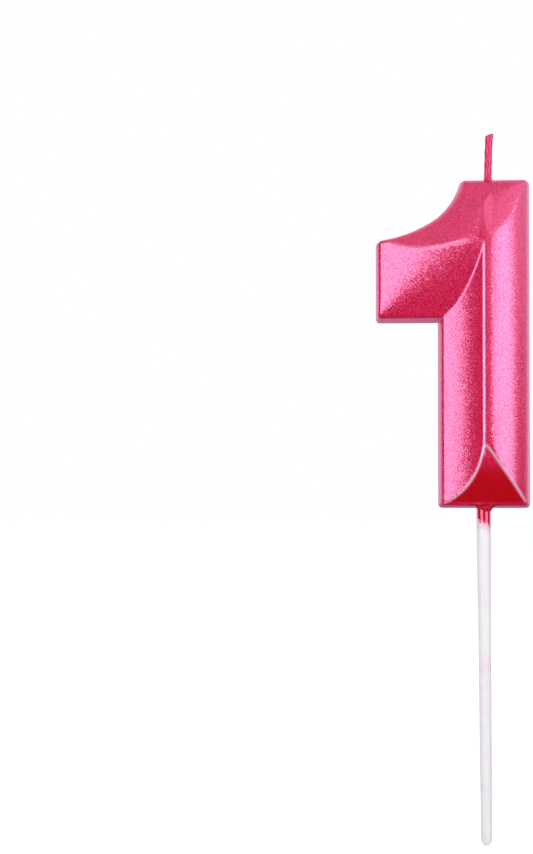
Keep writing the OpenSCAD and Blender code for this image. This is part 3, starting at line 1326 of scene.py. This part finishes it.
@dataclass
class Bead:
    """The bead of set wax and paint between the pick and the digit, in millimetres."""

    finish: BeadPaint
    top: float = 0.62
    low: float = -0.62
    top_radius: float = 2.45
    low_radius: float = 1.46
    lip: Span = (0.12, 0.02)
    flare: float = 2.4
    sides: int = 72
    rings: int = 26
    lump: float = 0.16
    fine: float = 0.06
    spread: float = 0.55

    def build(self) -> Shape:
        """Builds the bead as a flared ring that rises into lumps.

        Returns:
            The shape in millimetres.
        """
        profile = [(0.0, self.top)]
        for share in (k / self.rings for k in range(self.rings + 1)):
            radius = self.low_radius + (self.top_radius - self.low_radius) * (1 - share) ** self.flare
            profile.append((radius, self.top + (self.low - self.top) * share))
        inward, under = self.lip
        profile += [(self.low_radius - inward, self.low - under), (0.0, self.low - under)]
        piece = bmesh.new()
        revolve(piece, profile, self.sides)
        for vert in piece.verts:
            size = math.hypot(vert.co.x, vert.co.y)
            if size < 0.5:
                continue
            turn = math.atan2(vert.co.y, vert.co.x)
            part = (vert.co.z - self.low) / (self.top - self.low)
            across, back = math.cos(turn), math.sin(turn)
            lump = self.lump * noise.noise(Vector((2.2 * across, 2.2 * back, vert.co.z * 1.9)))
            fine = self.fine * noise.noise(Vector((5 * across, 5 * back, vert.co.z * 4)))
            spread = self.spread * max(0.0, across) ** 2 * max(0.0, part) ** 2
            grow = 1 + ((lump + fine) * min(1, 2.2 * part + 0.15) + spread) / size
            vert.co.x *= grow
            vert.co.y *= grow
        return piece

    def dress(self) -> bpy.types.Object:
        """Builds the bead and gives it its finish.

        Returns:
            The object.
        """
        made = place(self.build(), "bead_seal", self.finish.make())
        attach(made, Body.ROOT.value)
        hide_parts("seal_bead")
        return made


# ---------------------------------------------------------------- studio


@dataclass(frozen=True)
class SoftBox:
    """An oval lamp that faces the candle, placed by its direction in degrees, in metres."""

    name: str
    side: float
    rise: float
    away: float
    width: float
    height: float
    radiance: float
    glossy: bool = True

    def hang(self, middle: Vector) -> None:
        """Adds the lamp.

        Args:
            middle: The point that it faces.
        """
        turn, up = math.radians(self.side), math.radians(self.rise)
        out = Vector((math.sin(turn) * math.cos(up), -math.cos(turn) * math.cos(up), math.sin(up)))
        data = bpy.data.lights.new(self.name, "AREA")
        data.shape = "ELLIPSE"
        data.size, data.size_y = self.width, self.height
        data.energy = self.radiance * math.pi * self.width * self.height * math.pi / 4
        lamp = bpy.data.objects.new(self.name, data)
        lamp.location = middle + out * self.away
        lamp.rotation_euler = out.to_track_quat("Z", "Y").to_euler()
        lamp.visible_camera, lamp.visible_glossy = False, self.glossy
        bpy.context.scene.collection.objects.link(lamp)


@dataclass
class Studio:
    """Pale floor, white surround, soft lamps, a glowing tent whose painted reflections gloss alone sees, and
    the camera, in metres.
    """

    middle: Vector
    floor_z: float
    lamps: tuple[SoftBox, ...] = (
        SoftBox("lamp_left", -33, 2.0, 0.40, 0.355, 0.26, 2.9),
        SoftBox("lamp_right", 49, 0, 0.41, 0.32, 0.24, 2.8),
        SoftBox("lamp_top", 0, 78, 0.70, 1.6, 1.3, 0.92, glossy=False),
        SoftBox("lamp_back", 180, 20, 0.60, 1.0, 0.8, 0.9, glossy=False),
    )
    fill: float = 0.22
    floor_half: float = 6.0
    floor_tones: tuple[Colour, Colour] = ((0.78, 0.78, 0.78), (0.82, 0.82, 0.82))
    floor_patch: float = 40.0
    floor_glow: Span = (0.50, 0.82)
    floor_reach: Span = (0.12, 0.7)
    tent_radius: float = 1.2
    tent_back: float = 0.60
    tent_skew: float = -0.35
    tent_lift: float = 0.001
    tent_rear: float = 0.60
    tent_rear_y: Span = (0.08, 0.40)
    tent_glow: float = 1.0
    tent_glow_x: Span = (0.05, 0.45)
    tent_front: float = 0.012
    tent_side: Span = (0.08, 0.32)
    tent_side_x: Span = (0.84, 0.97)
    tent_side_z: Span = (0.03, 0.15)
    tent_top: float = 0.40
    tent_top_z: Span = (0.10, 0.42)
    tent_low: float = 0.008
    tent_low_z: Span = (-0.30, -0.08)
    camera_at: Point = (-0.0052, -0.420, 0.0079)
    camera_pan: float = -5.642
    camera_tilt: float = 1.302
    camera_lens: float = 82.43

    def surround(self) -> None:
        """Makes the world: white to the camera, to gloss and to glass, and a soft fill for the rest."""
        world = bpy.data.worlds.new("surround")
        world.use_nodes = True
        bpy.context.scene.world = world
        tree = Tree(world.node_tree)
        level = tree.span(tree.seen(), 0.0, 1.0, self.fill, 1.0)
        white = tree.add("Background", {"Color": WHITE, "Strength": level})
        tree.add("OutputWorld", {"Surface": white.outputs[0]})

    def floor(self) -> None:
        """Lays the pale floor, which shows white and keeps the shadow."""
        piece = bmesh.new()
        bmesh.ops.create_grid(piece, x_segments=2, y_segments=2, size=self.floor_half / MM)
        bmesh.ops.translate(piece, verts=piece.verts, vec=(0, 0, self.floor_z / MM))
        material, tree, where = blank("floor_pale")
        tone = tree.blend(tree.grain(where, self.floor_patch, 3.0), *self.floor_tones)
        matt = tree.add("BsdfDiffuse", {"Color": tone})
        out = tree.vector("LENGTH", where).outputs["Value"]
        level = tree.times(tree.seen(), tree.span(out, *self.floor_reach, *self.floor_glow))
        glow = tree.add("Emission", {"Color": WHITE, "Strength": level})
        both = tree.add("AddShader", {0: matt.outputs[0], 1: glow.outputs[0]})
        tree.add("OutputMaterial", {"Surface": both.outputs[0]})
        place(piece, "floor", material)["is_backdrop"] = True

    def reflection_glow(self) -> bpy.types.Material:
        """Makes the tent's glow, which paints the reflections: dark in front, grey overhead and at its sides,
        bright at its upper right.

        Returns:
            The material.
        """
        material, tree, where = blank("reflection_tent")
        way = tree.add("SeparateXYZ", {0: tree.vector("NORMALIZE", where).outputs[0]}).outputs
        flank = tree.span(way["Z"], *self.tent_side_z, *self.tent_side)
        level = tree.plus(self.tent_front, tree.times(tree.span(way["X"], *self.tent_side_x), flank))
        glow = tree.times(tree.span(way["Z"], *self.tent_side_z), tree.span(way["X"], *self.tent_glow_x))
        for share, goal in ((tree.span(way["Z"], *self.tent_top_z), self.tent_top), (glow, self.tent_glow)):
            level = tree.plus(level, tree.times(share, tree.calc("SUBTRACT", goal, level)))
        level = tree.plus(self.tent_low, tree.times(tree.span(way["Z"], *self.tent_low_z), level))
        deep = tree.add("SeparateXYZ", {0: where}).outputs["Y"]
        behind = tree.span(deep, *self.tent_rear_y, 0.0, self.tent_rear)
        glow = tree.add("Emission", {"Color": WHITE, "Strength": tree.calc("MAXIMUM", level, behind)})
        tree.add("OutputMaterial", {"Surface": glow.outputs[0]})
        return material

    def tent(self) -> None:
        """Puts a glowing tent round the front, open behind and closed just above the floor, that gloss alone
        sees as painted reflection.
        """
        piece = bmesh.new()
        bmesh.ops.create_uvsphere(piece, u_segments=64, v_segments=32, radius=self.tent_radius / MM)
        cut_away(piece, (0, self.tent_back / MM, 0), Vector((self.tent_skew, 1, 0)))
        low = (self.floor_z + self.tent_lift) / MM
        cut_away(piece, (0, 0, low), Vector((0, 0, -1)))
        rim = [edge for edge in piece.edges if all(abs(vert.co.z - low) < TOUCH for vert in edge.verts)]
        corners = {vert for edge in rim for vert in edge.verts}
        ends = [vert for vert in corners if sum(edge in rim for edge in vert.link_edges) == 1]
        bmesh.ops.contextual_create(piece, geom=rim + [piece.edges.new(ends)])
        made = place(piece, "reflection_tent", self.reflection_glow())
        # Hidden from camera, diffuse light and shadows, the tent only shows in reflections.
        made.visible_camera = made.visible_diffuse = made.visible_shadow = made.visible_transmission = False
        made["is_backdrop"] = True

    def camera(self) -> None:
        """Sets the camera in front of the candle, turned so that the candle stands at the right."""
        data = bpy.data.cameras.new("camera")
        data.lens, data.sensor_width = self.camera_lens, 36
        data.clip_start, data.clip_end = 0.01, 20
        made = bpy.data.objects.new("camera", data)
        made.location = self.camera_at
        pan, tilt = math.radians(self.camera_pan), math.radians(self.camera_tilt)
        ahead = Vector((math.sin(pan) * math.cos(tilt), math.cos(pan) * math.cos(tilt), math.sin(tilt)))
        made.rotation_euler = ahead.to_track_quat("-Z", "Y").to_euler()
        bpy.context.scene.collection.objects.link(made)
        bpy.context.scene.camera = made

    def build(self) -> None:
        """Builds the whole studio."""
        bpy.context.scene.view_settings.view_transform = "Standard"
        self.surround()
        self.floor()
        for lamp in self.lamps:
            lamp.hang(self.middle)
        self.tent()
        self.camera()


# ---------------------------------------------------------------- assembly


def main() -> None:
    """Builds the candle's pieces in order, then the studio."""
    logging.basicConfig(level=logging.INFO, format="%(name)s %(message)s")
    Digit(PearlPaint("paint_pearl")).dress()
    coat = PearlPaint("paint_wick", base=(0.76, 0.0008, 0.060), flake_size=0.16, roughness=0.36, ior=2.2)
    wick = Wick(coat, Cotton("cotton_waxed"))
    wick.plies()
    wick.coat()
    Pick(PickPlastic("plastic_dipped")).dress()
    Bead(BeadPaint("paint_bead")).dress()
    floor_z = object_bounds()[0].z - 0.0001
    Studio(middle=Vector((0, 0, 0.035)), floor_z=floor_z).build()


if __name__ == "__main__":
    main()
